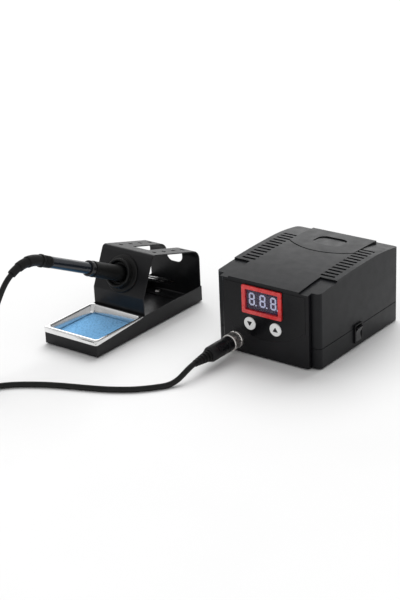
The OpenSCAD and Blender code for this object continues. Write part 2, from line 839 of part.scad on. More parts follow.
// ================= control unit: switch and inlet =================
module rocker_housing() {
    color("#1a1a1b") at_station() translate([case_w / 2, switch_y, switch_z]) difference() {
        union() {
            translate([bezel_out, 0, 0]) rotate([0, -90, 0]) linear_extrude(bezel_out)
                round_rect(2 * bezel_z, 2 * bezel_y, 1.2);
            box([-body_in, -body_y, -body_z], [eps, body_y, body_z]);
            box([-terminal_in, -3, 5], [-body_in + 0.1, 3, 5.8]);
            box([-terminal_in, -3, -0.4], [-body_in + 0.1, 3, 0.4]);
        }
        box([-8, -rocker_y - gap, -body_z + inlet_free],
            [5, rocker_y + gap, body_z - inlet_free]);
        translate([-rocker_axle_in, 0, 0]) bar_y(-rocker_y - 1, rocker_y + 1, axle_r + run);
    }
}
module power_rocker() {
    h = rocker_half;
    r = rocker_rise;
    color("#202021") at_station() translate([case_w / 2 - rocker_axle_in, switch_y, switch_z]) {
        rotate([0, rocker_swing / 2, 0]) translate([0, rocker_y, 0]) rotate([90, 0, 0])
            linear_extrude(2 * rocker_y) polygon([[-4, -2.2], [-4, 2.2], [0.6, h - 0.2], [r, h],
                [r - 1.7, h / 2], [r - 2.3, 0], [r - 1.7, -h / 2], [r, -h], [0.6, -h + 0.2]]);
        bar_y(-rocker_y - 0.9, rocker_y + 0.9, axle_r);
    }
}
module rear_panel() {
    y1 = case_d - rear_wall;
    color("#3a3b3d") at_station() difference() {
        box([-rear_open_x - panel_lap, y1 - panel_t, wall + 0.2],
            [rear_open_x + panel_lap, y1, rear_open_z + 2]);
        translate([inlet_x, 0, inlet_z])
            box([-inlet_w / 2 - inlet_free, y1 - 5, -inlet_h / 2 - inlet_free],
                [inlet_w / 2 + inlet_free, y1 + 1, inlet_h / 2 + inlet_free]);
        for (x = [rear_vent_x[0] : 6 : rear_vent_x[1]]) {
            box([x - 1.5, y1 - 5, rear_vent_z[0]], [x + 1.5, y1 + 1, rear_vent_z[1]]);
        }
    }
}
module at_inlet() {
    at_station() translate([inlet_x, case_d - rear_wall, inlet_z]) children();
}
module mains_inlet() {
    color("#1d1d1e") at_inlet() difference() {
        union() {
            plate_y(inlet_w + 4, inlet_h + 4, 2.5, 0, 2.6);
            box([-inlet_w / 2, -inlet_depth, -inlet_h / 2], [inlet_w / 2, eps, inlet_h / 2]);
        }
        translate([0, 0, socket_dz]) plate_y(24, 16.4, 2.5, -14.4, 4);
        translate([0, 0, socket_dz]) inlet_pin_places()
            box([-1 - run, -inlet_depth - 4, -2 - run], [1 + run, 0, 2 + run]);
        translate([0, 0, drawer_dz]) box([-drawer_x - gap, -drawer_in - 1, -drawer_z - gap],
            [drawer_x + gap, 4, drawer_z + gap]);
    }
}
module inlet_pin_places() {
    translate([-pin_x, 0, -pin_z]) children();
    translate([pin_x, 0, -pin_z]) children();
    translate([0, 0, pin_z]) children();
}
module inlet_pins() {
    color("#c9ccd0") at_inlet() translate([0, 0, socket_dz]) inlet_pin_places()
        box([-1, -inlet_depth - 5, -2], [1, -2.6, 2]);
}
module fuse_drawer() {
    color("#262627") at_inlet() translate([0, 0, drawer_dz]) difference() {
        union() {
            box([-drawer_x, -drawer_in, -drawer_z], [drawer_x, 2.2, drawer_z]);
            box([-9, 2.1, -3.5], [9, 3, 3.5]);
        }
        box([-drawer_x + 2, -drawer_in + 2, -fuse_r - 0.4], [drawer_x - 2, -1.2, 5]);
        box([-6, 1.8, -1.5], [6, 4, 0.6]);
    }
}
module fuse() {
    half = drawer_x - 2.4;
    color("#d8dde0") at_inlet() translate([-half, -8, drawer_dz]) rotate([0, 90, 0])
        cylinder(h = 2 * half, r = fuse_r);
}

// ================= iron plug and socket =================
module at_plug_pins() {
    for (i = [0 : pin_count - 1]) {
        rotate((i + 0.5) * 360 / pin_count) translate([pin_circle, 0, 0]) children();
    }
}
module iron_socket() {
    color("#c2c4c6") on_plug() difference() {
        union() {
            translate([0, 0, fascia_out - fascia_t - 1.6]) cylinder(h = 1.6, r = socket_flange);
            translate([0, 0, 0.2 - board_y]) cylinder(h = board_y + 17.8, r = socket_r);
        }
        translate([0, 0, 10]) cylinder(h = 20, r = nose_r + 0.2);
        at_plug_pins() translate([0, 0, 2]) cylinder(h = 20, r = pin_r + 0.1);
    }
}
module socket_nut() {
    color("#d5d7d9") on_plug() translate([0, 0, fascia_out]) difference() {
        turned([[socket_r + run, 0], [ring_r, 0], [ring_r, nut_h - 0.7], [ring_r - 0.7, nut_h],
            [socket_r + run, nut_h]]);
        for (a = [0 : 90 : 359]) {
            rotate(a) translate([ring_r + 0.6, 0, -1]) cylinder(h = 6, r = 1.2);
        }
    }
}
module coupling_ring() {
    inner = socket_r + run;
    hub = nose_r + run;
    r = coupling_r;
    color("#b9bbbd") on_plug() difference() {
        turned([[inner, 10], [r - 0.4, 10], [r, 10.5], [r, 19.6], [r - 0.6, 20.5], [hub, 20.5],
            [hub, 18.4], [inner, 18.4]]);
        for (a = [0 : 20 : 359]) {
            rotate(a) translate([r + 0.35, 0, 11]) cylinder(h = 8, r = 0.6, $fn = 16);
        }
    }
}
module plug_body() {
    r = plug_r;
    color("#1c1c1e") on_plug() difference() {
        turned([[0, 10.4], [nose_r, 10.4], [nose_r, 21], [r - 0.8, 21], [r, 21.8], [r, 28],
            [r - 0.5, 28.6], [r - 0.5, 30], [r, 30.6], [r, boot_z - 4], [r - 1.6, boot_z],
            [0, boot_z]]);
        at_plug_pins() translate([0, 0, 9]) cylinder(h = 6, r = pin_r);
    }
}
module plug_pins() {
    color("#d9c17a") on_plug() at_plug_pins() translate([0, 0, 3]) cylinder(h = 12, r = pin_r);
}
// Stepped rubber boot behind the plug
module plug_relief() {
    rings = [for (i = [0 : 4]) let (z = boot_z + boot_pitch * i, r = boot_r - 0.55 * i)
        each [[r, z], [r, z + 3.2], [boot_r - 1.3 - 0.3 * i, z + 3.2],
            [boot_r - 1.3 - 0.3 * i, z + boot_pitch]]];
    color("#202022") on_plug()
        turned(concat([[0, boot_z]], rings, [[0, boot_z + 5 * boot_pitch]]));
}

// ================= cord =================
// A tube of radius r swept along the points of a route
module sweep(route, r, sides) {
    n = len(route);
    rings = [for (i = [0 : n - 1]) let (
        t = unit(route[min(i + 1, n - 1)] - route[max(i - 1, 0)]),
        s = unit(cross(t, abs(t[2]) < 0.8 ? [0, 0, 1] : [1, 0, 0])),
        u = cross(s, t)
    ) for (k = [0 : sides - 1]) route[i] + r * (s * cos(360 * k / sides) + u * sin(360 * k / sides))];
    caps = [[for (k = [0 : sides - 1]) k], [for (k = [0 : sides - 1]) n * sides - 1 - k]];
    walls = [for (i = [0 : n - 2]) for (k = [0 : sides - 1]) let (
        a = i * sides + k, b = i * sides + (k + 1) % sides
    ) each [[a, a + sides, b], [b, a + sides, b + sides]]];
    polyhedron(points = rings, faces = concat(caps, walls));
}
module cord_plug_run() {
    color("#1b1b1c") sweep(plug_run, cord_r, 10);
}
module cord_lead() {
    color("#1b1b1c") sweep(lead_run, cord_r, 10);
}
module cord_coil() {
    color("#1b1b1c") translate([coil_at[0], coil_at[1], 0]) rotate_extrude($fn = 72)
        translate([(coil_in + coil_out) / 2, (coil_z[0] + coil_z[1]) / 2])
            round_rect(coil_out - coil_in, coil_z[1] - coil_z[0], cord_r - eps);
}
module cord_tie() {
    t = tie_t + 0.05;
    color("#2f3033") translate([coil_at[0], coil_at[1], 0]) rotate(tie_at) difference() {
        box([coil_in - t, -tie_half, 0], [coil_out + t, tie_half, coil_z[1] + t]);
        rotate_extrude($fn = 72) translate([coil_in - 0.05, coil_z[0] - 0.05])
            square([coil_out - coil_in + 0.1, coil_z[1] - coil_z[0] + 0.1]);
    }
}

// ================= stand =================
module stand_base() {
    x = stand_w / 2;
    color("#19191a") at_stand() difference() {
        union() {
            box([-x, 0, 0], [x, stand_len, sheet]);
            for (s = [-1, 1]) {
                translate([s * (x - sheet / 2) - sheet / 2, 0, 0]) rotate([90, 0, 90])
                    linear_extrude(sheet) polygon(concat(
                        [[0, 0], [stand_len, 0], [stand_len, flange_h]],
                        corner([stand_len, flange_h], [0, flange_h], [0, 0], flange_corner, 8)));
            }
            box([-x, 0, 0], [x, sheet, front_flange_h]);
        }
        at_holder_screws() translate([0, 0, -1]) cylinder(h = 4, r = holder_screw_r + 0.1);
    }
}
module at_holder_screws() {
    for (s = [-1, 1]) {
        for (y = holder_screw_y) {
            translate([s * screw_x, y, 0]) children();
        }
    }
}
// Centreline of the bent strip, from the front foot to the rear foot
function holder_line() = let (
    z0 = sheet * 1.5,
    p = [[strip_y + foot_len, z0], [strip_y, z0], [strip_y, panel_bend_z], [top_y, top_z],
        [rear_y, rear_z], [rear_y, z0], [rear_y - foot_len, z0]],
    r = [2, bend_r, 5, rear_bend_r, 2]
) concat([p[0]], [for (i = [1 : 5]) each corner(p[i - 1], p[i], p[i + 1], r[i - 1], 10)], [p[6]]);
// A place on the sloping top plate, at a distance behind its front bend
module on_top_plate(d) {
    translate([0, top_y + d * cos(top_slope), top_z - d * sin(top_slope)])
        rotate([-top_slope, 0, 0]) children();
}
module iron_holder() {
    line = holder_line();
    color("#1d1d1e") difference() {
        at_stand() across(2 * holder_x,
            concat(beside(line, sheet / 2), reversed(beside(line, -sheet / 2))));
        on_iron() translate([0, 0, -8]) cylinder(h = 16, d = hole_d);
        at_stand() {
            for (s = [-1, 1]) {
                for (d = tip_hole_at) {
                    on_top_plate(d) translate([s * tip_hole_x, 0, -5])
                        cylinder(h = 10, d = tip_hole_d);
                }
            }
            at_holder_screws() cylinder(h = 6, r = holder_screw_r + 0.1);
            box([-slot_w / 2, slot_front, slot_floor + slot_corner],
                [slot_w / 2, stand_len + 5, tall]);
            rear_slot_end();
        }
    }
}
// Rounded lower end of the slot, in the rear leg
module rear_slot_end() {
    x = slot_w / 2 - slot_corner;
    z = slot_floor + slot_corner;
    box([-x, stand_len - 8, slot_floor], [x, stand_len + 5, z + 1]);
    for (s = [-1, 1]) {
        translate([s * x, 0, z]) bar_y(stand_len - 8, stand_len + 5, slot_corner);
    }
}
// Funnel with a stepped nose ring, a flange on the panel and a neck through it
module holder_bushing() {
    g = bushing_r;
    neck = hole_d / 2 - 0.15;
    back = nut_r + 0.9;
    color("#161617") on_iron() turned([[g, 4], [g + 0.6, 4.8], [g + 1.6, 4.8], [g + 1.6, 6],
        [g + 2.4, 6.4], [g + 3.2, 6], [g + 3.4, 4.6], [g + 4, 9.2], [g + 4.8, 10], [g + 6, 10],
        [g + 6.8, 9.2], [g + 7.6, 2.6], [g + 11, 2.2], [g + 11.8, 1.4], [g + 11.8, 0.1],
        [neck, 0.1], [neck, bushing_back], [back, bushing_back], [back, grip_nose - 0.4],
        [g, grip_s[0] - 0.4]]);
}
module bushing_clip() {
    color("#8d9094") on_iron() translate([0, 0, -sheet - 1.7]) difference() {
        cylinder(h = 1.6, r = bushing_r + 6.4);
        translate([0, 0, -1]) cylinder(h = 4, r = hole_d / 2 - 0.1);
        translate([-2, 0, -1]) cube([4, hole_d, 4]);
    }
}
module holder_screws() {
    r = holder_screw_r;
    top = 2 * sheet;
    color("#b4b6b8") at_stand() at_holder_screws() difference() {
        turned([[0, -1], [r + 1.4, -1], [r + 1.4, 0], [r, 0], [r, top], [r + 1.6, top],
            [r + 1.6, top + 1], [r + 0.6, top + 2], [0, top + 2.2]]);
        translate([0, 0, top + 0.9]) cross_slot(4);
    }
}
module stand_feet() {
    r = stand_foot_r;
    color("#1c1c1c") at_stand() for (s = [-1, 1]) {
        for (y = [stand_foot_in[1], stand_len - stand_foot_in[1]]) {
            translate([s * (stand_w / 2 - stand_foot_in[0]), y, -foot_out])
                turned([[0, 0], [r - 0.6, 0], [r, 0.5], [r, foot_out], [0, foot_out]]);
        }
    }
}
// Tray: open pan that hangs by its rim on the base's flanges
module sponge_tray() {
    low = tray_rim_z - tray_depth;
    color("#d9dcde") at_stand() difference() {
        union() {
            translate([0, 0, tray_rim_z]) linear_extrude(tray_t) tray_rim();
            tray_prism(0, low, tray_rim_z + tray_t);
            tray_lip();
        }
        tray_prism(tray_t, low + tray_t, tray_rim_z + 5);
    }
}
module tray_rim() {
    translate([0, tray_len / 2 - 1.5]) round_rect(2 * tray_rim_x, tray_len + 0.3, rim_r);
}
// The pan's block, drawn in by a distance on every side
module tray_prism(inset, z0, z1) {
    y0 = tray_in + inset;
    y1 = tray_len - tray_back - inset;
    translate([0, (y0 + y1) / 2, z0]) linear_extrude(z1 - z0)
        round_rect(2 * (tray_x - inset), y1 - y0, 4);
}
// The rim's edge, turned down outside the flanges at the front and sides
module tray_lip() {
    x = tray_rim_x - rim_t;
    translate([0, 0, tray_rim_z - rim_drop]) linear_extrude(rim_drop + eps) difference() {
        tray_rim();
        translate([-x, -1.65 + rim_t]) square([2 * x, stand_len]);
        translate([-stand_w, tray_len - 10]) square([2 * stand_w, stand_len]);
    }
}
module sponge() {
    low = tray_rim_z - tray_depth + tray_t + 0.05;
    color("#8cc6ea") at_stand() tray_prism(tray_t + sponge_free, low, low + sponge_h);
}

// ================= iron =================
module iron_grip() {
    r = grip_d / 2;
    color("#1a1b1c") on_iron() turned([[bore_r, grip_nose], [nut_r + 0.2, grip_nose], [r, grip_s[0]],
        [r, 12], [r - 0.2, 14], [r - 0.2, 50], [r, 52], [r, grip_s[1]], [bore_r, grip_s[1]]]);
}
module iron_collar() {
    r = grip_d / 2 - 0.2;
    a = collar_s[0];
    b = collar_s[1];
    color("#151617") on_iron() turned([[bore_r, a], [r - 0.6, a], [r - 0.6, a + 2], [r, a + 2.6],
        [r, b - 1], [r - 0.8, b], [bore_r, b]]);
}
module iron_handle() {
    r = handle_d / 2;
    color("#1e2733") on_iron() turned([[bore_r, handle_s[0]], [r, handle_s[0]],
        [r - 0.35, handle_s[1]], [bore_r, handle_s[1]]]);
}
// Ribbed rear cap of the handle
module iron_sleeve() {
    r = handle_d / 2;
    a = sleeve_s[0];
    b = sleeve_s[1];
    ribs = [for (i = [0 : 4]) let (z = a + 1 + i * 2.2)
        each [[r - 0.1, z], [r - 0.1, z + 1.2], [r - 0.6, z + 1.2], [r - 0.6, z + 2.2]]];
    color("#1b1c1e") on_iron() turned(concat([[bore_r, a], [r - 0.5, a]], ribs,
        [[r + 0.5, b - 3], [r + 0.5, b - 0.6], [r, b], [bore_r, b]]));
}
// Strain relief: three steps that bend down round one centre
module cord_relief() {
    ends = [0, relief_turn * 0.42, relief_turn * 0.72, relief_turn];
    color("#1f2021") on_iron() translate([0, -relief_r, sleeve_s[1]]) rotate([90, 0, 90]) {
        for (i = [0 : 2]) {
            rotate(ends[i]) rotate_extrude(angle = ends[i + 1] - ends[i] + (i < 2 ? 1 : 0), $fn = 96)
                translate([relief_r, 0]) circle(r = handle_d / 2 - relief_steps[i]);
        }
    }
}
module barrel_nut() {
    bore = barrel_d / 2 + 0.05;
    a = nut_s[0];
    b = nut_s[1];
    color("#a9abad") on_iron() difference() {
        turned([[bore, a], [nut_r - 0.8, a], [nut_r, a + 0.8], [nut_r, b], [bore, b]]);
        for (i = [0 : 30 : 359]) {
            rotate(i) translate([nut_r + 0.5, 0, a + 2]) cylinder(h = 9, r = 0.8, $fn = 16);
        }
    }
}
module iron_barrel() {
    r = barrel_d / 2;
    bore = tip_r + 0.2;
    color("#c8cacc") on_iron() turned([[bore, barrel_s[0]], [r - 0.6, barrel_s[0]],
        [r, barrel_s[0] + 6], [r, barrel_s[1]], [bore, barrel_s[1]]]);
}
module heater_core() {
    color("#e9e4da") on_iron() translate([0, 0, tip_end + 1])
        cylinder(h = 1 - tip_end, r = tip_r - 0.1);
}
module iron_tip() {
    color("#8f8a84") on_iron() turned([[0, tip_s], [0.4, tip_s + 0.2], [tip_r, barrel_s[0]],
        [tip_r, tip_end], [0, tip_end]]);
}

top_cover();
bottom_case();
front_fascia();
fascia_overlay();
display_bezel();
display_window();
display_module();
display_digits();
down_button();
up_button();
tact_switches();
display_board();
display_board_screws();
main_board();
transformer_core();
transformer_coil();
transformer_bracket();
transformer_screws();
capacitor();
triac();
heat_sink();
iron_socket();
socket_nut();
rocker_housing();
power_rocker();
rear_panel();
mains_inlet();
inlet_pins();
fuse_drawer();
fuse();
station_feet();
case_screws();
coupling_ring();
plug_body();
plug_relief();
plug_pins();
cord_plug_run();
cord_coil();
cord_tie();
cord_lead();
stand_base();
iron_holder();
holder_bushing();
bushing_clip();
holder_screws();
stand_feet();
sponge_tray();
sponge();
iron_handle();
iron_sleeve();
cord_relief();
iron_collar();
iron_grip();
barrel_nut();
iron_barrel();
heater_core();
iron_tip();
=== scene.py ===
"""Looks of the soldering station: control unit, iron with its cord, and stand with a cleaning sponge.

Everything is in metres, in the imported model's frame: +Z up, the control unit's display faces -Y.
"""

import json
import math

import bmesh
import bpy
from mathutils import Matrix, Vector, noise


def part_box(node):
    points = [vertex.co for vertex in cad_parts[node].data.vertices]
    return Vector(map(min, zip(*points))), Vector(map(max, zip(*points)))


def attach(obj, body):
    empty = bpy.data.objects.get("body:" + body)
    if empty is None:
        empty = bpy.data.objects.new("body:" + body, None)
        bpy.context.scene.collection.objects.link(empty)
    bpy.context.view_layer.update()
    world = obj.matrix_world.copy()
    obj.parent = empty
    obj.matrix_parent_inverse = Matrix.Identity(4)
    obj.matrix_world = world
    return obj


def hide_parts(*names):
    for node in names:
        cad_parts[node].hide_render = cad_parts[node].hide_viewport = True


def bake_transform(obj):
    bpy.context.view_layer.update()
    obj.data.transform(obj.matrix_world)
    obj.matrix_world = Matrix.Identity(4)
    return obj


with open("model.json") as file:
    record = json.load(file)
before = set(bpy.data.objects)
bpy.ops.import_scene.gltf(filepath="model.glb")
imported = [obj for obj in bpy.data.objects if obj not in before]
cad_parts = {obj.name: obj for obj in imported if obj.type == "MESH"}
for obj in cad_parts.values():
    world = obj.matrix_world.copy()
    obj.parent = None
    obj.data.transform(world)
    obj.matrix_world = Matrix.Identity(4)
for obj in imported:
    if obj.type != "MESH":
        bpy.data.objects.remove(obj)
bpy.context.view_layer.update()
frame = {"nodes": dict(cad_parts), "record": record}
scene = bpy.context.scene
nodes = frame["nodes"]
MM = 0.001


# ---------------------------------------------------------------- camera
CAMERA_AT = (0.92253, -1.18110, 0.67672)
CAMERA_YAW, CAMERA_PITCH, CAMERA_ROLL = 38.0037, 22.606, -2.517
SENSOR, LENS = 36, 91.17


def make_camera():
    yaw, pitch, roll = (math.radians(angle) for angle in (CAMERA_YAW, CAMERA_PITCH, CAMERA_ROLL))
    forward = Vector((-math.sin(yaw) * math.cos(pitch), math.cos(yaw) * math.cos(pitch), -math.sin(pitch)))
    level = Vector((math.cos(yaw), math.sin(yaw), 0))
    upright = level.cross(forward)
    right = level * math.cos(roll) + upright * math.sin(roll)
    up = upright * math.cos(roll) - level * math.sin(roll)
    data = bpy.data.cameras.new("camera")
    data.sensor_width = SENSOR
    data.lens = LENS
    data.clip_end = 50
    camera = bpy.data.objects.new("camera", data)
    scene.collection.objects.link(camera)
    turn = Matrix((right, up, -forward)).transposed().to_4x4()
    camera.matrix_world = Matrix.Translation(CAMERA_AT) @ turn
    scene.camera = camera


# ---------------------------------------------------------------- mesh helpers
def smoothstep(a, b, x):
    t = min(max((x - a) / (b - a), 0), 1)
    return t * t * (3 - 2 * t)


def add_object(name, mesh):
    piece = bpy.data.objects.new(name, mesh)
    scene.collection.objects.link(piece)
    return piece


def shade(mesh, angle=40):
    mesh.polygons.foreach_set("use_smooth", [True] * len(mesh.polygons))
    mesh.set_sharp_from_angle(angle=math.radians(angle))


def build(name, points, faces, angle=40):
    """A new object from points and faces, with its normals outwards."""
    mesh = bpy.data.meshes.new(name)
    mesh.from_pydata([tuple(p) for p in points], [], faces)
    work = bmesh.new()
    work.from_mesh(mesh)
    bmesh.ops.recalc_face_normals(work, faces=work.faces)
    work.to_mesh(mesh)
    work.free()
    shade(mesh, angle)
    return add_object(name, mesh)


def loft(name, rings, angle=40):
    """A skin over closed rings of equal length, capped at both ends."""
    n = len(rings[0])
    points = [p for ring in rings for p in ring]
    faces = [
        (i * n + k, i * n + (k + 1) % n, (i + 1) * n + (k + 1) % n, (i + 1) * n + k)
        for i in range(len(rings) - 1)
        for k in range(n)
    ]
    faces += [tuple(range(n)), tuple(range((len(rings) - 1) * n, len(rings) * n))]
    return build(name, points, faces, angle)


def tube(name, path, radius, sides=16):
    """A round tube along a path, its rings carried along without twist."""
    side = Vector((0, 0, 1))
    rings = []
    for i, p in enumerate(path):
        ahead = (path[min(i + 1, len(path) - 1)] - path[max(i - 1, 0)]).normalized()
        side = (side - ahead * side.dot(ahead)).normalized()
        other = ahead.cross(side)
        turns = [2 * math.pi * k / sides for k in range(sides)]
        rings.append([p + (side * math.cos(t) + other * math.sin(t)) * radius for t in turns])
    return loft(name, rings)


def through(points, spacing):
    """A smooth path through points, with a point about every spacing."""
    ends = [points[0] * 2 - points[1]] + points + [points[-1] * 2 - points[-2]]
    path = []
    for a, b, c, d in zip(ends, ends[1:], ends[2:], ends[3:]):
        n = max(1, round((c - b).length / spacing))
        for i in range(n):
            t = i / n
            path.append(
                b + (c - a) * t / 2 + (a * 2 - b * 5 + c * 4 - d) * t**2 / 2
                + (b * 3 - a - c * 3 + d) * t**3 / 2
            )
    return path + [points[-1]]


def rounded(half_x, y0, y1, radius, z, n=6):
    """A level ring round a rectangle with round corners, centred on X."""
    corners = [(half_x, y1, 0), (-half_x, y1, 90), (-half_x, y0, 180), (half_x, y0, 270)]
    ring = []
    for x, y, start in corners:
        cx = x - math.copysign(radius, x)
        cy = y - radius if y == y1 else y + radius
        for k in range(n + 1):
            a = math.radians(start + 90 * k / n)
            ring.append(Vector((cx + radius * math.cos(a), cy + radius * math.sin(a), z)))
    return ring


# Angles in degrees: edges above the first are rounded, faces within the second are joined
SHARP_ANGLE, FLAT_ANGLE = 30, 0.4


def soften(node, width, segments):
    """Stands in for a CAD node with the same shape, its sharp edges rounded by width, in millimetres."""
    mesh = bpy.data.meshes.new(node + "_soft")
    work = bmesh.new()
    work.from_mesh(nodes[node].data)
    bmesh.ops.remove_doubles(work, verts=work.verts, dist=2e-6)
    limit = math.radians(FLAT_ANGLE)
    bmesh.ops.dissolve_limit(work, angle_limit=limit, verts=work.verts, edges=work.edges)
    work.to_mesh(mesh)
    work.free()
    for layer in ("custom_normal", "sharp_face"):
        if layer in mesh.attributes:
            mesh.attributes.remove(mesh.attributes[layer])
    shade(mesh, SHARP_ANGLE)
    piece = add_object(node + "_soft", mesh)
    bevel = piece.modifiers.new("round_edges", "BEVEL")
    bevel.width = width * MM
    bevel.segments = segments
    bevel.limit_method = "ANGLE"
    bevel.angle_limit = math.radians(SHARP_ANGLE)
    bevel.harden_normals = True
    bevel.miter_outer = "MITER_ARC"
    piece["made_from"] = node
    finish_piece(piece, body_of(node), slot_of(node), [node])


def body_of(node):
    return next(b for b, members in frame["record"]["behaviour"]["bodies"].items() if node in members)


def slot_of(node):
    return next(s["material_slot"] for s in frame["record"]["subparts"] if s["node"] == node)


def finish_piece(piece, body, slot, replaced=()):
    """Gives a new piece its material and its body, and hides what it stands for."""
    piece.data.materials.clear()
    piece.data.materials.append(materials[slot])
    if body:
        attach(piece, body)
    if replaced:
        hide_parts(*replaced)


# ---------------------------------------------------------------- materials
NOISE_ROUGHNESS = 0.55
# The part of a noise's range that a roughness follows
NOISE_LOW, NOISE_HIGH = 0.3, 0.7


class Look:
    """A material whose colour, roughness and relief come from noise in the object's own space."""

    def __init__(self, name, metallic=0.0, **sockets):
        self.material = bpy.data.materials.new(name)
        self.material.use_nodes = True
        self.tree = self.material.node_tree
        self.shader = self.tree.nodes["Principled BSDF"]
        self.shader.inputs["Metallic"].default_value = metallic
        for socket, value in sockets.items():
            self.shader.inputs[socket.replace("_", " ")].default_value = value
        self.place = self.tree.nodes.new("ShaderNodeTexCoord").outputs["Object"]

    def link(self, output, target):
        self.tree.links.new(output, target)

    def scaled(self, stretch):
        mapping = self.tree.nodes.new("ShaderNodeMapping")
        mapping.inputs["Scale"].default_value = stretch
        self.link(self.place, mapping.inputs["Vector"])
        return mapping.outputs["Vector"]

    def noise(self, scale, detail, stretch=None):
        texture = self.tree.nodes.new("ShaderNodeTexNoise")
        texture.inputs["Scale"].default_value = scale
        texture.inputs["Detail"].default_value = detail
        texture.inputs["Roughness"].default_value = NOISE_ROUGHNESS
        self.link(self.scaled(stretch) if stretch else self.place, texture.inputs["Vector"])
        return texture.outputs["Fac"]

    def cells(self, scale):
        texture = self.tree.nodes.new("ShaderNodeTexVoronoi")
        texture.feature = "F1"
        texture.inputs["Scale"].default_value = scale
        self.link(self.place, texture.inputs["Vector"])
        return texture.outputs["Distance"]

    def waves(self, scale, axis, distortion):
        texture = self.tree.nodes.new("ShaderNodeTexWave")
        texture.bands_direction = axis
        texture.inputs["Scale"].default_value = scale
        texture.inputs["Distortion"].default_value = distortion
        self.link(self.place, texture.inputs["Vector"])
        return texture.outputs["Fac"]

    def ramp(self, value, stops):
        node = self.tree.nodes.new("ShaderNodeValToRGB")
        elements = node.color_ramp.elements
        while len(elements) < len(stops):
            elements.new(0.5)
        for element, (at, colour) in zip(elements, stops):
            element.position = at
            element.color = (*colour, 1)
        self.link(value, node.inputs["Fac"])
        return node.outputs["Color"]

    def colour(self, value, low, high, start=0.35, end=0.65):
        self.link(self.ramp(value, [(start, low), (end, high)]), self.shader.inputs["Base Color"])

    def roughness(self, value, low, high):
        node = self.tree.nodes.new("ShaderNodeMapRange")
        node.inputs["From Min"].default_value = NOISE_LOW
        node.inputs["From Max"].default_value = NOISE_HIGH
        node.inputs["To Min"].default_value = low
        node.inputs["To Max"].default_value = high
        self.link(value, node.inputs["Value"])
        self.link(node.outputs["Result"], self.shader.inputs["Roughness"])

    def relief(self, value, depth):
        """Bump of a depth in millimetres; called again, it adds to the relief below it."""
        node = self.tree.nodes.new("ShaderNodeBump")
        node.inputs["Strength"].default_value = 1.0
        node.inputs["Distance"].default_value = depth * MM
        self.link(value, node.inputs["Height"])
        below = self.shader.inputs["Normal"]
        if below.is_linked:
            self.link(below.links[0].from_socket, node.inputs["Normal"])
        self.link(node.outputs["Normal"], below)


def grained(name, low, high, rough, grain=1500, depth=0.02, **sockets):
    """Moulded plastic, rubber or coating with a fine grain."""
    look = Look(name, **sockets)
    look.colour(look.noise(35, 4), low, high)
    look.roughness(look.noise(90, 4), rough - 0.05, rough + 0.05)
    look.relief(look.noise(grain, 2), depth)
    return look


def metal(name, low, high, rough, stretch, depth=0.004, **sockets):
    """Metal with fine lines along one direction and faint stains."""
    look = Look(name, metallic=1.0, **sockets)
    look.colour(look.noise(60, 4), low, high)
    look.roughness(look.noise(400, 3, stretch), rough - 0.05, rough + 0.07)
    look.relief(look.noise(900, 2, stretch), depth)
    return look


def grey(v, warm=0.0):
    return (v * (1 + warm), v, v * (1 - warm))


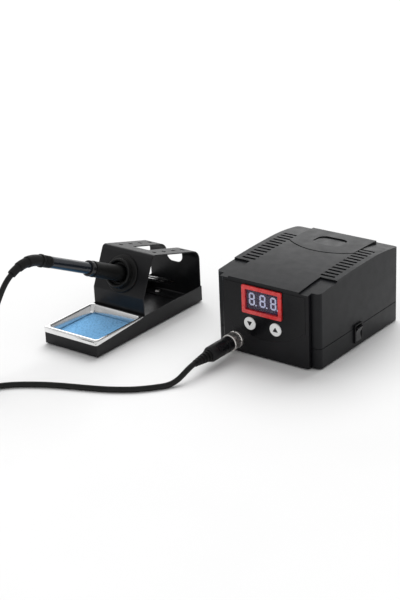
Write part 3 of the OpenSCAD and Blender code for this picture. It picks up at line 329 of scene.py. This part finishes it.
def make_materials():
    looks = {}
    plain = {"Specular_IOR_Level": 0.2}
    looks["case_plastic"] = grained("case_plastic", (0.0055, 0.006, 0.007), (0.0075, 0.008, 0.0095), 0.36,
                                    grain=2200, depth=0.03, **plain)
    looks["fascia_plastic"] = grained("fascia_plastic", (0.005, 0.005, 0.006), (0.007, 0.007, 0.0085), 0.34,
                                      grain=2200, depth=0.02, **plain)
    looks["overlay_film"] = grained("overlay_film", (0.003, 0.003, 0.004), (0.004, 0.004, 0.005), 0.22,
                                    grain=700, depth=0.004, **plain)
    looks["black_plastic"] = grained("black_plastic", (0.006, 0.006, 0.007), (0.010, 0.010, 0.011), 0.42,
                                     grain=2000, depth=0.02, **plain)
    looks["gloss_black"] = grained("gloss_black", (0.005, 0.005, 0.006), (0.008, 0.008, 0.009), 0.20,
                                   grain=300, depth=0.003)
    looks["plug_plastic"] = grained("plug_plastic", (0.005, 0.005, 0.006), (0.008, 0.008, 0.009), 0.28,
                                    grain=1500, depth=0.015, **plain)
    looks["bushing_plastic"] = grained("bushing_plastic", (0.005, 0.005, 0.005), (0.008, 0.008, 0.008), 0.32,
                                       grain=1800, depth=0.02, **plain)
    looks["rubber_black"] = grained("rubber_black", (0.005, 0.005, 0.005), (0.009, 0.009, 0.009), 0.50,
                                    grain=1300, depth=0.03, **plain)
    looks["module_black"] = grained("module_black", (0.030, 0.020, 0.050), (0.045, 0.030, 0.070), 0.25,
                                    grain=600, depth=0.004)
    looks["white_plastic"] = grained("white_plastic", (0.86, 0.86, 0.85), (0.91, 0.91, 0.90), 0.22,
                                     grain=500, depth=0.004)
    looks["circuit_board"] = grained("circuit_board", (0.012, 0.09, 0.04), (0.02, 0.14, 0.06), 0.30,
                                     grain=900, depth=0.01)
    looks["core_steel"] = grained("core_steel", (0.10, 0.10, 0.11), (0.20, 0.19, 0.18), 0.45, metallic=0.8,
                                  grain=800, depth=0.02)
    looks["coil_tape"] = grained("coil_tape", (0.42, 0.17, 0.03), (0.60, 0.28, 0.06), 0.40,
                                 grain=900, depth=0.02)
    looks["capacitor_sleeve"] = grained("capacitor_sleeve", (0.01, 0.02, 0.10), (0.02, 0.04, 0.17), 0.25,
                                        grain=600, depth=0.006)
    looks["heater_ceramic"] = grained("heater_ceramic", (0.76, 0.72, 0.64), (0.86, 0.83, 0.76), 0.60,
                                      grain=1600, depth=0.02)
    looks["handle_gloss"] = grained("handle_gloss", (0.006, 0.009, 0.014), (0.009, 0.013, 0.020), 0.20,
                                    grain=180, depth=0.006, Coat_Weight=0.08, Coat_Roughness=0.08)
    looks["cord_sheath"] = sheath()
    looks["powder_coat"] = powder_coat()
    looks["red_plastic"] = red_frame()
    looks["tinted_window"] = tinted_window()
    looks["fuse_glass"] = tinted_window("fuse_glass", (0.75, 0.78, 0.80), (0.85, 0.88, 0.90), 0.35)
    looks["lit_segments"] = lit_segments()
    looks["zinc_steel"] = metal("zinc_steel", grey(0.50, 0.02), grey(0.62, 0.03), 0.30, (1, 1, 6))
    looks["aluminium"] = metal("aluminium", grey(0.58), grey(0.68), 0.34, (1, 1, 0.05))
    looks["nickel"] = metal("nickel", grey(0.76, 0.03), grey(0.88, 0.04), 0.36, (1, 8, 1))
    looks["gilt_brass"] = metal("gilt_brass", (0.66, 0.47, 0.18), (0.78, 0.58, 0.26), 0.24, (1, 6, 1))
    looks["bright_steel"] = metal("bright_steel", grey(0.74), grey(0.84), 0.12, (1, 0.04, 1), depth=0.0015)
    looks["tip_plating"] = metal("tip_plating", (0.20, 0.17, 0.15), (0.36, 0.32, 0.29), 0.38, (1, 1, 1),
                                 depth=0.01)
    looks["sponge_blue"] = sponge_look()
    looks["tie_fabric"] = tie_look()
    return {slot: look.material for slot, look in looks.items()}


def sheath():
    look = Look("cord_sheath", Specular_IOR_Level=0.25)
    look.colour(look.noise(120, 4), (0.005, 0.005, 0.005), (0.009, 0.009, 0.009))
    look.roughness(look.noise(260, 3), 0.36, 0.50)
    look.relief(look.noise(700, 3), 0.03)
    return look


def powder_coat():
    look = Look("powder_coat", Specular_IOR_Level=0.25)
    look.colour(look.noise(70, 5), (0.005, 0.005, 0.006), (0.008, 0.008, 0.009))
    look.roughness(look.noise(500, 3), 0.30, 0.42)
    look.relief(look.cells(900), 0.02)
    look.relief(look.noise(300, 3), 0.02)
    return look


def red_frame():
    look = Look("red_plastic", Coat_Weight=0.5, Coat_Roughness=0.1, Subsurface_Weight=0.15)
    look.shader.inputs["Subsurface Radius"].default_value = (0.004, 0.001, 0.001)
    look.colour(look.noise(90, 3), (0.62, 0.018, 0.020), (0.78, 0.035, 0.036))
    look.roughness(look.noise(200, 3), 0.24, 0.34)
    look.relief(look.noise(700, 2), 0.006)
    return look


def tinted_window(name="tinted_window", low=(0.05, 0.03, 0.07), high=(0.07, 0.04, 0.10), alpha=0.30):
    look = Look(name, Alpha=alpha, Coat_Weight=0.4, Coat_Roughness=0.05)
    look.colour(look.noise(50, 3), low, high)
    look.roughness(look.noise(120, 3), 0.08, 0.14)
    look.relief(look.noise(90, 2), 0.003)
    return look


def lit_segments():
    look = Look("lit_segments", Emission_Strength=0.75)
    glow = look.ramp(look.noise(300, 3), [(0.3, (0.56, 0.60, 0.86)), (0.7, (0.78, 0.82, 1.0))])
    look.link(glow, look.shader.inputs["Emission Color"])
    look.link(glow, look.shader.inputs["Base Color"])
    look.roughness(look.noise(200, 3), 0.30, 0.40)
    return look


def sponge_look():
    look = Look("sponge_blue", Sheen_Weight=0.25, Sheen_Roughness=0.6, Specular_IOR_Level=0.2)
    pores = look.cells(420)
    # The colour is darkest where the pore cells dent the surface: painted shade in the pores, over the
    # sponge's own blue.
    look.colour(pores, (0.06, 0.25, 0.50), (0.17, 0.46, 0.80), start=0.05, end=0.55)
    look.roughness(look.noise(300, 3), 0.78, 0.92)
    look.relief(pores, 0.35)
    look.relief(look.noise(1400, 4), 0.10)
    return look


def tie_look():
    look = Look("tie_fabric", Sheen_Weight=0.4, Sheen_Roughness=0.5, Specular_IOR_Level=0.2)
    weave = look.waves(900, "DIAGONAL", 0.4)
    # The colour is darkest where the weave sinks: painted shade in its grooves; the same weave also makes
    # the real relief.
    look.colour(weave, (0.012, 0.012, 0.013), (0.035, 0.035, 0.038), start=0.2, end=0.8)
    look.roughness(look.noise(500, 3), 0.75, 0.92)
    look.relief(weave, 0.12)
    return look


def dress_cad_nodes():
    """Every CAD node that stays on show gets its slot's material."""
    for node, piece in nodes.items():
        piece.data.materials.clear()
        piece.data.materials.append(materials[slot_of(node)])


# ---------------------------------------------------------------- cord
# Points in millimetres, from the plug outwards and from the iron outwards; the coil joins the two.
CORD_D = 6 * MM
PATH_STEP = 2.5 * MM
BEND_FROM = 22 * MM
PLUG_RUN = [
    (42, -66, 15), (42, -70, 14.9), (41.9, -75, 14), (41.5, -81, 12), (40.6, -87, 9.2),
    (39, -93, 6.2), (36.5, -99, 4), (33, -105.5, 3.1), (28, -112, 3), (20, -121, 3),
    (10, -130, 3), (-2, -138, 3), (-15, -145, 3), (-29, -151, 3), (-44, -157, 3),
    (-59, -163, 3), (-74, -170, 3), (-88, -178, 3), (-101, -187, 3), (-111, -197, 3.2),
    (-118, -209, 3.5), (-121, -222, 3.8),
]
LEAD_RUN = [
    (-110.8, -167.1, 115.8), (-110.8, -170.6, 114), (-111.2, -175, 110.4), (-112.2, -179.5, 104.6),
    (-114, -183.5, 96.5), (-116.5, -187, 86.5), (-119.5, -190, 75), (-122.5, -193, 62),
    (-126, -196, 48), (-129.5, -198.8, 36), (-133.5, -201, 26.5), (-140, -202, 19.5),
    (-148.5, -202, 16.4), (-157, -201.5, 15.8),
]
COIL_AT = (-156, -236)
COIL_OUTER, COIL_INNER = 37.5, 31.5
COIL_LOW, COIL_HIGH = 3.8, 9.8
COIL_START, COIL_TURNS = 22, 3.81
COIL_STEPS = 24
# Where along the turns the cord changes its place in the coil
STEP_IN, STEP_OUT = (0.84, 0.98), (2.57, 2.71)
FIRST_RISE, LAST_RISE = (1.70, 1.84), (3.38, 3.57)
LEAVING = (3.5, COIL_TURNS)


def coil_points():
    """Turns beside and on each other: low outer, low inner, high inner, high outer, then up and off."""
    last_r = math.hypot(LEAD_RUN[-1][0] - COIL_AT[0], LEAD_RUN[-1][1] - COIL_AT[1])
    points = []
    for i in range(1, int(COIL_TURNS * COIL_STEPS)):
        u = i / COIL_STEPS
        inwards = smoothstep(*STEP_IN, u) - smoothstep(*STEP_OUT, u)
        r = COIL_OUTER + (COIL_INNER - COIL_OUTER) * inwards
        r += (last_r - COIL_OUTER) * smoothstep(*LEAVING, u)
        z = COIL_LOW + (COIL_HIGH - COIL_LOW) * (smoothstep(*FIRST_RISE, u) + smoothstep(*LAST_RISE, u))
        a = math.radians(COIL_START - 360 * u)
        points.append((COIL_AT[0] + r * math.cos(a), COIL_AT[1] + r * math.sin(a), z))
    return points


def make_cord():
    route = [Vector(p) * MM for p in PLUG_RUN + coil_points() + LEAD_RUN[::-1]]
    path = through(route, PATH_STEP)
    cord = tube("iron_cord", path, CORD_D / 2)
    finish_piece(cord, None, "cord_sheath", ["cord_plug_run", "cord_coil", "cord_lead"])
    foot, top = route[-1].copy(), route[-1].copy()
    foot.z = BEND_FROM
    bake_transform(cord)


# ---------------------------------------------------------------- pieces
CASE_EDGE, SHEET_EDGE, SMALL_EDGE, THIN_EDGE = 0.6, 0.35, 0.3, 0.12
# Nodes, width of the rounded edge in millimetres, and its segments
SOFT_EDGES = [
    (("top_cover", "bottom_case", "front_fascia", "rear_panel", "mains_inlet"), CASE_EDGE, 2),
    (("stand_base", "iron_holder"), SHEET_EDGE, 2),
    (("display_bezel", "rocker_housing", "power_rocker", "fuse_drawer"), SMALL_EDGE, 2),
    (("iron_socket", "socket_nut"), SMALL_EDGE, 2),
    (("down_button", "up_button", "coupling_ring", "plug_body", "plug_relief"), SMALL_EDGE, 3),
    (("holder_bushing", "iron_grip", "iron_collar", "iron_handle", "iron_sleeve"), SMALL_EDGE, 3),
    (("cord_relief", "barrel_nut"), SMALL_EDGE, 3),
    (("fascia_overlay", "bushing_clip", "holder_screws", "case_screws"), THIN_EDGE, 2),
]


def make_soft_edges():
    """The hard parts that show, with rounded edges."""
    for members, width, segments in SOFT_EDGES:
        for node in members:
            soften(node, width, segments)


ARROW_HALF, ARROW_TIP, ARROW_FOOT = 3.4 * MM, 2.97 * MM, 2.43 * MM
ARROW_PROUD, ARROW_SUNK, ARROW_CORNER = 0.12 * MM, 0.3 * MM, 0.5 * MM


def make_arrows():
    """Black arrowheads set into the button faces."""
    for node, name, up in (("down_button", "down_arrow", -1), ("up_button", "up_arrow", 1)):
        low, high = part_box(node)
        cx, cz = (low.x + high.x) / 2, (low.z + high.z) / 2
        front, back = low.y - ARROW_PROUD, low.y + ARROW_SUNK
        tip, foot = cz + up * ARROW_TIP, cz - up * ARROW_FOOT
        outline = [(cx - ARROW_HALF, foot), (cx + ARROW_HALF, foot), (cx, tip)]
        soft = []
        for i, p in enumerate(outline):
            p = Vector(p)
            for q in (outline[i - 1], outline[(i + 1) % 3]):
                soft.append(p + (Vector(q) - p).normalized() * ARROW_CORNER)
        rings = [[Vector((p.x, y, p.y)) for p in soft] for y in (front, back)]
        arrow = loft(name, rings, angle=30)
        bevel = arrow.modifiers.new("round_edges", "BEVEL")
        bevel.width = 0.08 * MM
        bevel.segments = 2
        finish_piece(arrow, node, "gloss_black")


RIM_SIDE, RIM_FRONT, RIM_REAR = 3.2 * MM, 5.85 * MM, 3.65 * MM
TRAY_SHEET = 0.8 * MM
LIP_LEAST, LIP_DROP, LIP_END = 0.9 * MM, 4.3 * MM, 9 * MM
RIM_CORNER, PAN_CORNER, FLOOR_CORNER, CORNER_STEPS = 3.4 * MM, 4.4 * MM, 2.5 * MM, 8


def make_tray():
    """Stamped pan: lip turned down outside, flat rim, rolled edge, sloping wall and filleted floor."""
    low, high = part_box("sponge_tray")
    cx = (low.x + high.x) / 2
    half = (high.x - low.x) / 2
    rim_z = high.z
    floor_z = low.z
    mouth_x = half - RIM_SIDE
    mouth_y0, mouth_y1 = low.y + RIM_FRONT, high.y - RIM_REAR

    def ring(out, z, radius):
        """A ring between the pan's mouth, at 0, and the rim's edge, at 1; below 0 it goes into the pan."""
        grow = max(out, 0)
        shrink = min(out, 0) * RIM_SIDE
        x = mouth_x + (half - mouth_x) * grow + shrink
        y0 = mouth_y0 + (low.y - mouth_y0) * grow - shrink
        y1 = mouth_y1 + (high.y - mouth_y1) * grow + shrink
        return rounded(x, y0, y1, radius, z, CORNER_STEPS)

    # Share of the rim and height: from the lip over the rim to the floor, and back below the sheet
    top = [(1.0, "lip"), (1.0, rim_z - 0.8 * MM), (0.95, rim_z - 0.2 * MM), (0.84, rim_z), (0.24, rim_z),
           (0.06, rim_z - 0.25 * MM), (-0.06, rim_z - 1.0 * MM), (-0.30, floor_z + 3.4 * MM),
           (-0.40, floor_z + 1.9 * MM), (-0.75, floor_z + 1.05 * MM), (-1.3, floor_z + TRAY_SHEET),
           (-6, floor_z + TRAY_SHEET)]
    under = [(-6, floor_z), (-1.2, floor_z), (-0.55, floor_z + 0.3 * MM), (-0.15, floor_z + 1.5 * MM),
             (-0.03, floor_z + 3.2 * MM), (0.14, rim_z - 1.5 * MM), (0.24, rim_z - TRAY_SHEET),
             (0.74, rim_z - TRAY_SHEET), (0.78, rim_z - 1.1 * MM), (0.78, "lip")]
    rings = []
    for out, z in top + under:
        radius = RIM_CORNER if out > 0.5 else PAN_CORNER if out > -2 else FLOOR_CORNER
        points = ring(out, rim_z if z == "lip" else z, radius)
        if z == "lip":
            end = high.y - LIP_END
            for p in points:
                drop = 1 - smoothstep(end - MM, end + MM, p.y)
                p.z = rim_z - LIP_LEAST - LIP_DROP * drop
        rings.append([p + Vector((cx, 0, 0)) for p in points])
    n = len(rings[0])
    m = len(rings)
    points = [p for r in rings for p in r]
    faces = []
    for i in range(m):
        if i == len(top) - 1:
            continue
        j = (i + 1) % m
        faces += [(i * n + k, i * n + (k + 1) % n, j * n + (k + 1) % n, j * n + k) for k in range(n)]
    a = (len(top) - 1) * n
    faces += [tuple(range(a, a + n)), tuple(range(a + n, a + 2 * n))]
    tray = build("tray_pan", points, faces, 50)
    finish_piece(tray, "tray", "bright_steel", ["sponge_tray"])


SPONGE_CELL, SPONGE_ROUND, SKIN_IN = 0.75 * MM, 1.6 * MM, 0.3 * MM
PORES_PER_M, PORE_DEPTH, PORE_EDGE = 430, 0.55 * MM, 0.42
ROUGH_PER_M, ROUGH_DEPTH = 900, 0.16 * MM
WAVES_PER_M, WAVE_DEPTH = 45, 0.35 * MM
CROWN_DROP, CROWN_IN, BASE_RISE = 0.5 * MM, 14 * MM, 1.5 * MM


def make_sponge():
    """Cellulose sponge: soft-edged block with open pores, a slightly crowned top and wavy sides."""
    low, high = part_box("sponge")
    counts = [max(2, round((high[i] - low[i]) / SPONGE_CELL)) for i in range(3)]
    work = bmesh.new()
    bmesh.ops.create_cube(work, size=1)
    for vert in work.verts:
        vert.co = Vector([low[i] if vert.co[i] < 0 else high[i] for i in range(3)])
    for axis in range(3):
        for i in range(1, counts[axis]):
            at = Vector((0, 0, 0))
            at[axis] = low[axis] + (high[axis] - low[axis]) * i / counts[axis]
            across = Vector([float(k == axis) for k in range(3)])
            geometry = work.verts[:] + work.edges[:] + work.faces[:]
            bmesh.ops.bisect_plane(work, geom=geometry, plane_co=at, plane_no=across)
    middle = (low + high) / 2
    for vert in work.verts:
        p = vert.co.copy()
        core = Vector([min(max(p[i], low[i] + SPONGE_ROUND), high[i] - SPONGE_ROUND) for i in range(3)])
        away = p - core
        if away.length < 1e-9:
            continue
        out = away.normalized()
        p = core + out * SPONGE_ROUND
        dent = noise.voronoi(p * PORES_PER_M)[0][0]
        pore = PORE_DEPTH * (1 - smoothstep(0, PORE_EDGE, dent))
        rough = ROUGH_DEPTH * noise.noise(p * ROUGH_PER_M)
        wave = WAVE_DEPTH * noise.noise(p * WAVES_PER_M)
        edge = min(high.x - p.x, p.x - low.x, high.y - p.y, p.y - low.y)
        crown = CROWN_DROP * (1 - smoothstep(0, CROWN_IN, edge)) if p.z > middle.z else 0
        base = smoothstep(low.z, low.z + BASE_RISE, p.z)
        vert.co = p - out * (pore - rough + SKIN_IN - wave) * base - Vector((0, 0, crown))
    mesh = bpy.data.meshes.new("sponge_block")
    bmesh.ops.recalc_face_normals(work, faces=work.faces)
    work.to_mesh(mesh)
    work.free()
    shade(mesh, 80)
    sponge = add_object("sponge_block", mesh)
    finish_piece(sponge, "sponge", "sponge_blue", ["sponge"])


TIE_AT, TIE_STEPS, OVERLAP_STEPS, LAP_STEPS = 300, 40, 6, 4
TIE_SQUARE, TIE_ROUND = 0.55, 0.47
TIE_THICK, TIE_HALF, TIE_LENGTH = 0.7 * MM, 6.0 * MM, 13.0 * MM
TIE_LAP, TIE_EDGE, TIE_LOWEST = 0.75 * MM, 0.12 * MM, 0.15 * MM


def make_tie():
    """Hook-and-loop band round the coil's turns, with its free end lapped over."""
    angle = math.radians(TIE_AT)
    radial = Vector((math.cos(angle), math.sin(angle), 0))
    along = Vector((-math.sin(angle), math.cos(angle), 0))
    middle = Vector((COIL_AT[0], COIL_AT[1], 0)) * MM + radial * (COIL_OUTER + COIL_INNER) / 2 * MM
    middle.z = (COIL_LOW + COIL_HIGH) / 2 * MM
    outline = []
    for i in range(TIE_STEPS + OVERLAP_STEPS):
        a = 2 * math.pi * i / TIE_STEPS - math.pi * 0.25
        lap = smoothstep(TIE_STEPS - LAP_STEPS, TIE_STEPS, i) * TIE_LAP
        flat = max(abs(math.cos(a)), abs(math.sin(a)))
        r = TIE_HALF * (1 / flat * TIE_SQUARE + TIE_ROUND) + lap
        outline.append((r * math.cos(a), r * math.sin(a), r))
    rings = []
    for c, s, r in outline:
        out = Vector((c, s)).normalized()
        ring = []
        for offset, side in ((0, -1), (0, 1), (TIE_THICK, 1), (TIE_THICK, -1)):
            edge = TIE_LENGTH / 2 - (TIE_EDGE if offset else 0)
            x, z = c + out.x * offset, s + out.y * offset
            above = Vector((0, 0, max(z, TIE_LOWEST - middle.z)))
            ring.append(middle + radial * x + above + along * side * edge)
        rings.append(ring)
    band = loft("cord_tie_band", rings, angle=50)
    finish_piece(band, "root", "tie_fabric", ["cord_tie"])


# ---------------------------------------------------------------- stage
FLOOR_HALF = 6
LIGHTS_AIM = (0, 0, 0.05)
WORLD_STRENGTH = 0.6
SKY_ENERGY, SKY_ANGLE, SKY_WAY = 2.35, 50, (0.35, -0.65, -1.0)
# Name, place, size and power of each area light
AREA_LIGHTS = [
    ("behind", (-1.3, 1.8, 0.75), (1.6, 0.7), 5),
    ("left", (-1.6, -0.7, 0.9), (0.8, 0.8), 2),
]


def make_stage():
    floor_look = Look("floor_paper", Specular_IOR_Level=0.1)
    floor_look.colour(floor_look.noise(3, 3), grey(0.80), grey(0.82))
    floor_look.roughness(floor_look.noise(8, 3), 0.85, 0.95)
    half = FLOOR_HALF
    corners = [(-half, -half, 0), (half, -half, 0), (half, half, 0), (-half, half, 0)]
    floor = build("floor", corners, [(0, 1, 2, 3)])
    floor.data.materials.append(floor_look.material)


def area_light(name, place, target, size, power):
    data = bpy.data.lights.new(name, "AREA")
    data.shape = "RECTANGLE"
    data.size, data.size_y = size
    data.energy = power
    light = bpy.data.objects.new(name, data)
    scene.collection.objects.link(light)
    light.location = place
    light.rotation_mode = "QUATERNION"
    light.rotation_quaternion = (Vector(target) - Vector(place)).to_track_quat("-Z", "Y")


def make_lights():
    world = bpy.data.worlds.new("studio")
    scene.world = world
    world.use_nodes = True
    background = world.node_tree.nodes["Background"]
    background.inputs["Color"].default_value = (1, 1, 1, 1)
    background.inputs["Strength"].default_value = WORLD_STRENGTH
    data = bpy.data.lights.new("sky", "SUN")
    data.energy = SKY_ENERGY
    data.angle = math.radians(SKY_ANGLE)
    sky = bpy.data.objects.new("sky", data)
    scene.collection.objects.link(sky)
    sky.rotation_mode = "QUATERNION"
    sky.rotation_quaternion = Vector(SKY_WAY).to_track_quat("-Z", "Y")
    sky.visible_glossy = False
    for name, place, size, power in AREA_LIGHTS:
        area_light(name, place, LIGHTS_AIM, size, power)
    scene.view_settings.view_transform = "Standard"


# ---------------------------------------------------------------- the scene
make_camera()
materials = make_materials()
dress_cad_nodes()
make_soft_edges()
make_tie()
make_cord()
make_arrows()
make_tray()
make_sponge()
make_stage()
make_lights()
